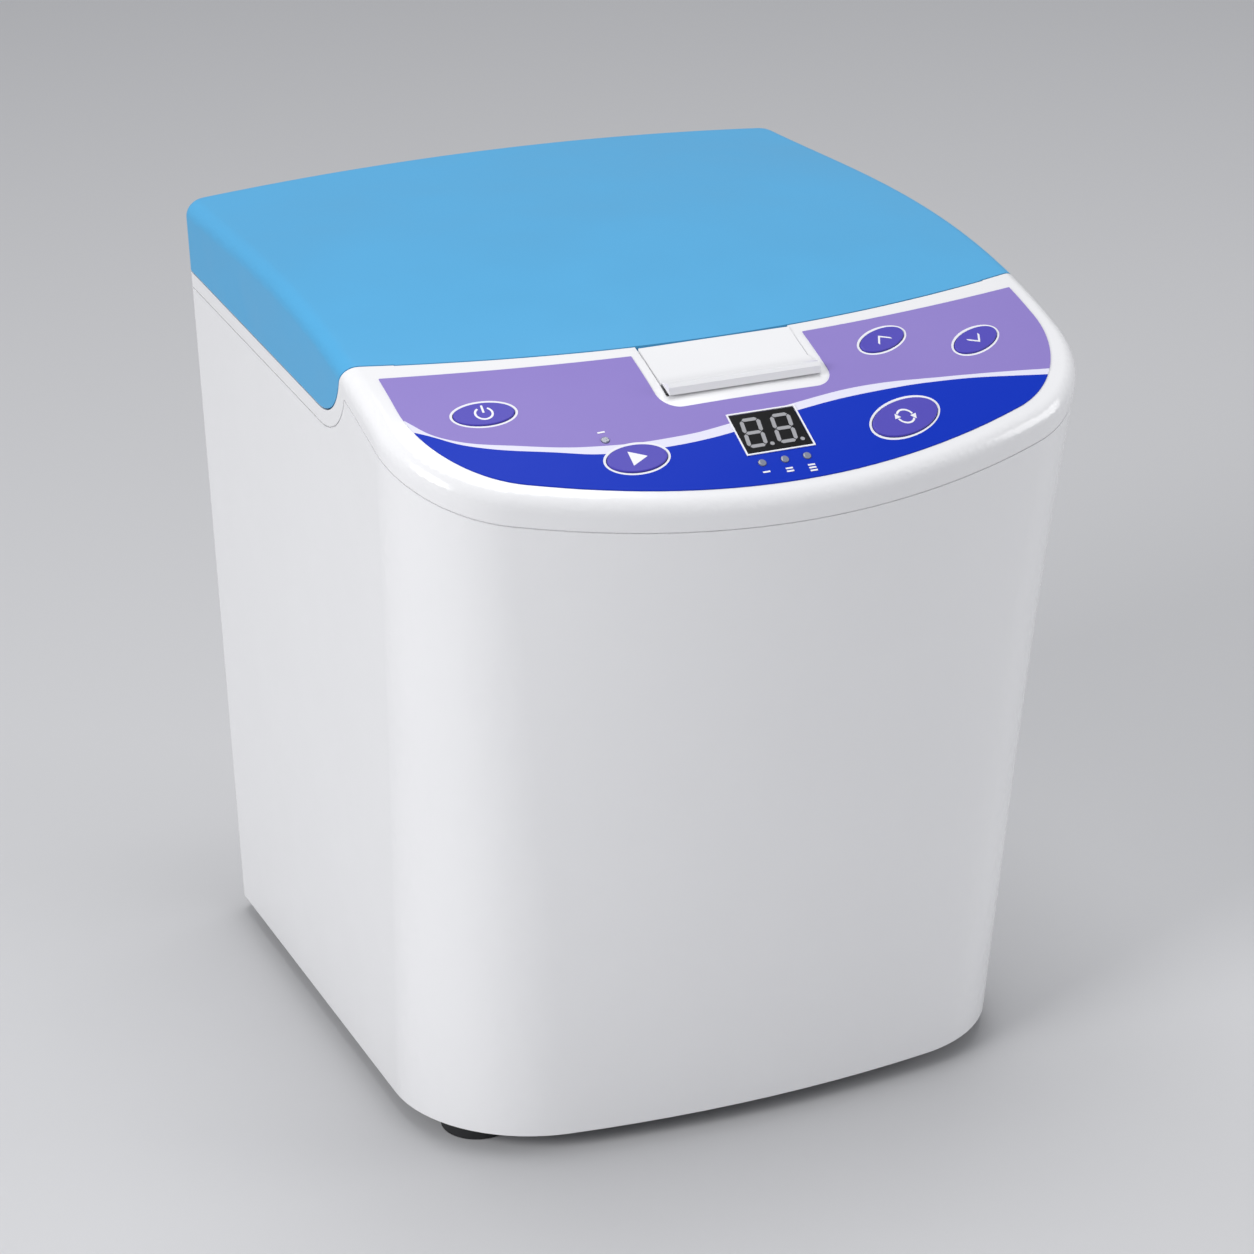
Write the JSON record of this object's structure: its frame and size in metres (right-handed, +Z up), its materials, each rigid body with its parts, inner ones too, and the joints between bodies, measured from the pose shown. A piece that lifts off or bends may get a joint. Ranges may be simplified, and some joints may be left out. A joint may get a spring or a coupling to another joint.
{
  "type": "dental impression mixer",
  "caption": "Bench top dental impression mixer with a hinged blue lid, sloping control panel, thumb latch and a tilted planetary mixing cup inside.",
  "frame": {"origin": "on the table under the middle of the whole outline seen from above", "axes": "+Z up, -Y towards the front where the control panel faces, +X to the right seen from the front"},
  "size_m": [0.277, 0.3094, 0.3222],
  "materials": {
    "white_plastic": "glossy moulded ABS, light specular",
    "blue_plastic": "satin moulded ABS",
    "liner_white": "matt",
    "overlay_film": "printed polycarbonate film, fine texture",
    "key_violet": "satin key caps",
    "display_black": "dark glossy window",
    "segment_grey": "unlit segments, glossy",
    "lamp_clear": "clear light pipes, glossy",
    "black_rubber": "matt",
    "brown_rubber": "matt drive tyre",
    "gasket_grey": "matt silicone",
    "sheet_steel": "brushed stainless",
    "machined_steel": "turned and ground",
    "zinc_steel": "zinc plated",
    "cast_aluminium": "cast, lightly machined",
    "motor_black": "black enamel, semi gloss",
    "magnet_dark": "sintered, dull",
    "copper_core": "laminated core with varnished winding",
    "board_green": "solder mask",
    "black_plastic": "matt moulded",
    "cup_plastic": "satin translucent white",
    "cap_blue": "satin",
    "lead_grey": "sleeved leads",
    "bearing_steel": "polished rings"
  },
  "bodies": {
    "base": {"lower_housing": "white_plastic", "upper_frame": "white_plastic", "base_plate": "sheet_steel", "rubber_feet": "black_rubber", "foot_screws": "zinc_steel", "plate_screws": "zinc_steel", "frame_screws": "zinc_steel", "lid_sensor": "black_plastic", "rear_hinge_leaves": "sheet_steel", "hinge_pins": "machined_steel", "rear_leaf_screws": "zinc_steel", "control_overlay": "overlay_film", "display_module": "display_black", "display_segments": "segment_grey", "indicator_lamps": "lamp_clear", "control_board": "board_green", "key_switches": "black_plastic", "chamber_bowl": "sheet_steel", "drip_collar": "black_rubber", "motor_case": "motor_black", "motor_magnets": "magnet_dark", "motor_mount": "sheet_steel", "mount_posts": "cast_aluminium", "mount_dampers": "black_rubber", "drive_screws": "zinc_steel", "bearing_housing": "cast_aluminium", "spindle_bearings": "bearing_steel", "drive_track": "cast_aluminium", "track_tyre": "brown_rubber", "track_screws": "zinc_steel", "driver_board": "board_green", "driver_standoffs": "zinc_steel", "power_inlet": "black_plastic", "inner_leads": "lead_grey"},
    "lid": {"lid_shell": "blue_plastic", "lid_liner": "liner_white", "liner_screws": "zinc_steel", "lid_gasket": "gasket_grey", "lid_strike": "sheet_steel", "lid_magnet": "magnet_dark", "lid_hinge_leaves": "sheet_steel", "lid_leaf_screws": "zinc_steel"},
    "rotor": {"spindle": "machined_steel", "motor_armature": "copper_core", "rotor_arm": "cast_aluminium", "rotor_nut": "zinc_steel", "counterweight": "machined_steel", "cup_bearing": "bearing_steel"},
    "cup": {"cup_carrier": "cast_aluminium", "drive_roller": "brown_rubber", "mixing_cup": "cup_plastic"},
    "cap": {"cup_cap": "cap_blue"},
    "latch": {"latch_tab": "white_plastic", "latch_springs": "machined_steel"},
    "drawer": {"fuse_drawer": "black_plastic"},
    "power": {"power_key": "key_violet"},
    "start": {"start_key": "key_violet"},
    "up": {"up_key": "key_violet"},
    "down": {"down_key": "key_violet"},
    "select": {"select_key": "key_violet"}
  },
  "joints": [
    {"name": "lid_hinge", "type": "hinge", "parent": "base", "child": "lid", "pos_m": [0, 0.15045, 0.2863], "axis": [-1, 0, 0], "range_deg": [0, 95]},
    {"name": "latch_slide", "type": "slide", "parent": "base", "child": "latch", "axis": [0.0005, -0.9373, -0.3485], "range_m": [0, 0.006], "stiffness_N_per_m": 250, "springref_m": -0.004},
    {"name": "rotor_spin", "type": "hinge", "parent": "base", "child": "rotor", "pos_m": [0, 0.027, 0.15], "axis": [0, 0, 1], "continuous": true},
    {"name": "cup_spin", "type": "hinge", "parent": "rotor", "child": "cup", "pos_m": [0.045, 0.027, 0.222], "axis": [-0.5, 0, 0.866], "continuous": true},
    {"name": "cap_twist", "type": "hinge", "parent": "cup", "child": "cap", "pos_m": [0.045, 0.027, 0.222], "axis": [-0.5, 0, 0.866], "range_deg": [0, 40]},
    {"name": "fuse_drawer_slide", "type": "slide", "parent": "base", "child": "drawer", "axis": [0, 0.9999, -0.0165], "range_m": [0, 0.014]},
    {"name": "power_press", "type": "slide", "parent": "base", "child": "power", "axis": [0.0614, 0.3636, -0.9295], "range_m": [0, 0.0005], "stiffness_N_per_m": 1200, "springref_m": -0.0003},
    {"name": "start_press", "type": "slide", "parent": "base", "child": "start", "axis": [0.0321, 0.475, -0.8794], "range_m": [0, 0.0005], "stiffness_N_per_m": 1200, "springref_m": -0.0003},
    {"name": "up_press", "type": "slide", "parent": "base", "child": "up", "axis": [-0.0373, 0.348, -0.9368], "range_m": [0, 0.0005], "stiffness_N_per_m": 1200, "springref_m": -0.0003},
    {"name": "down_press", "type": "slide", "parent": "base", "child": "down", "axis": [-0.0596, 0.364, -0.9295], "range_m": [0, 0.0005], "stiffness_N_per_m": 1200, "springref_m": -0.0003},
    {"name": "select_press", "type": "slide", "parent": "base", "child": "select", "axis": [-0.0294, 0.4767, -0.8786], "range_m": [0, 0.0005], "stiffness_N_per_m": 1200, "springref_m": -0.0003}
  ],
  "couplings": [
    {"joint": "cup_spin", "follows": "rotor_spin", "ratio": -3.7652}
  ]
}
